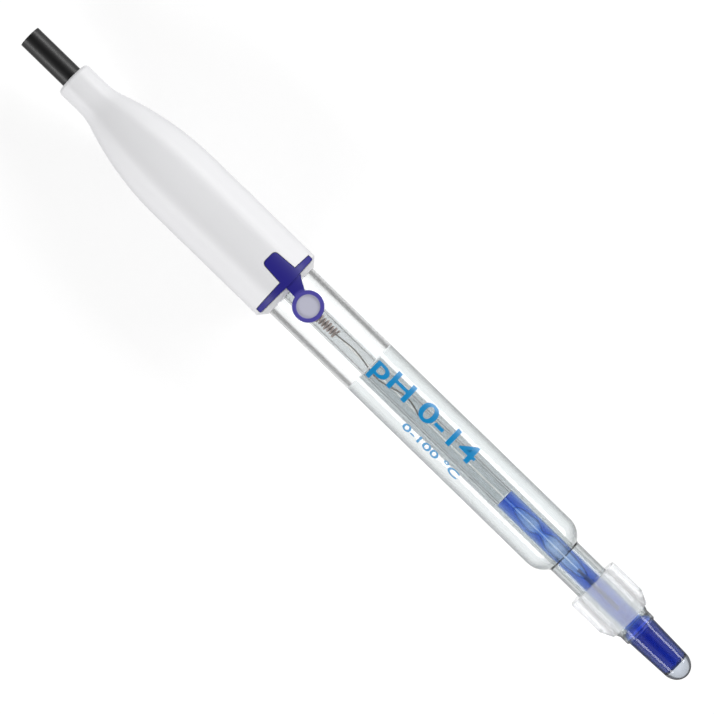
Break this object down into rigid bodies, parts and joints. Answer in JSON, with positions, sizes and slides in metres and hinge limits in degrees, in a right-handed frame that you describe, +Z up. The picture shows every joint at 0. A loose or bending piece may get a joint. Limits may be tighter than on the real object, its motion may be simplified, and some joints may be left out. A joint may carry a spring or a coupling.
{
  "type": "ph electrode",
  "caption": "Refillable combination pH electrode: white cap with cable, clear glass shank, rubber refill plug with pull ring, sliding junction sleeve and gel-filled bulb.",
  "frame": {"origin": "on the electrode's axis, where the cap's straight barrel ends at its rim", "axes": "+X along the axis from the cap to the bulb's tip, +Z up through the refill plug, the electrode lying down"},
  "size_m": [0.1775, 0.016, 0.016],
  "materials": {
    "cap_plastic": "satin moulded",
    "cable_black": "glossy extruded",
    "tinned_braid": "tinned",
    "insulation_white": "natural",
    "copper": "bare",
    "resin": "cast",
    "clear_glass": "fire polished",
    "membrane_glass": "blown",
    "blue_gel": "gel",
    "clear_filling": "gel",
    "seal_rubber": "matte",
    "silver_wire": "drawn",
    "silver_chloride": "fused coating",
    "blue_rubber": "satin moulded",
    "sleeve_plastic": "turned, slightly translucent"
  },
  "bodies": {
    "electrode": {"cap_shell": "cap_plastic", "cable_jacket": "cable_black", "cable_shield": "tinned_braid", "cable_insulation": "insulation_white", "cable_core": "copper", "core_crimp": "tinned_braid", "shield_lug": "tinned_braid", "potting": "resin", "outer_tube": "clear_glass", "inner_tube": "clear_glass", "membrane_bulb": "membrane_glass", "inner_gel": "blue_gel", "electrolyte": "clear_filling", "tube_bung": "seal_rubber", "inner_bung": "seal_rubber", "measuring_wire": "silver_wire", "coated_tip": "silver_chloride", "reference_wire": "silver_wire", "reference_coil": "silver_chloride"},
    "plug": {"refill_plug": "blue_rubber"},
    "sleeve": {"junction_sleeve": "sleeve_plastic"}
  },
  "joints": [
    {"name": "plug_pull", "type": "slide", "parent": "electrode", "child": "plug", "axis": [0, 0, 1], "range_m": [0, 0.012]},
    {"name": "sleeve_slide", "type": "slide", "parent": "electrode", "child": "sleeve", "axis": [-1, 0, 0], "range_m": [0, 0.0065]}
  ]
}
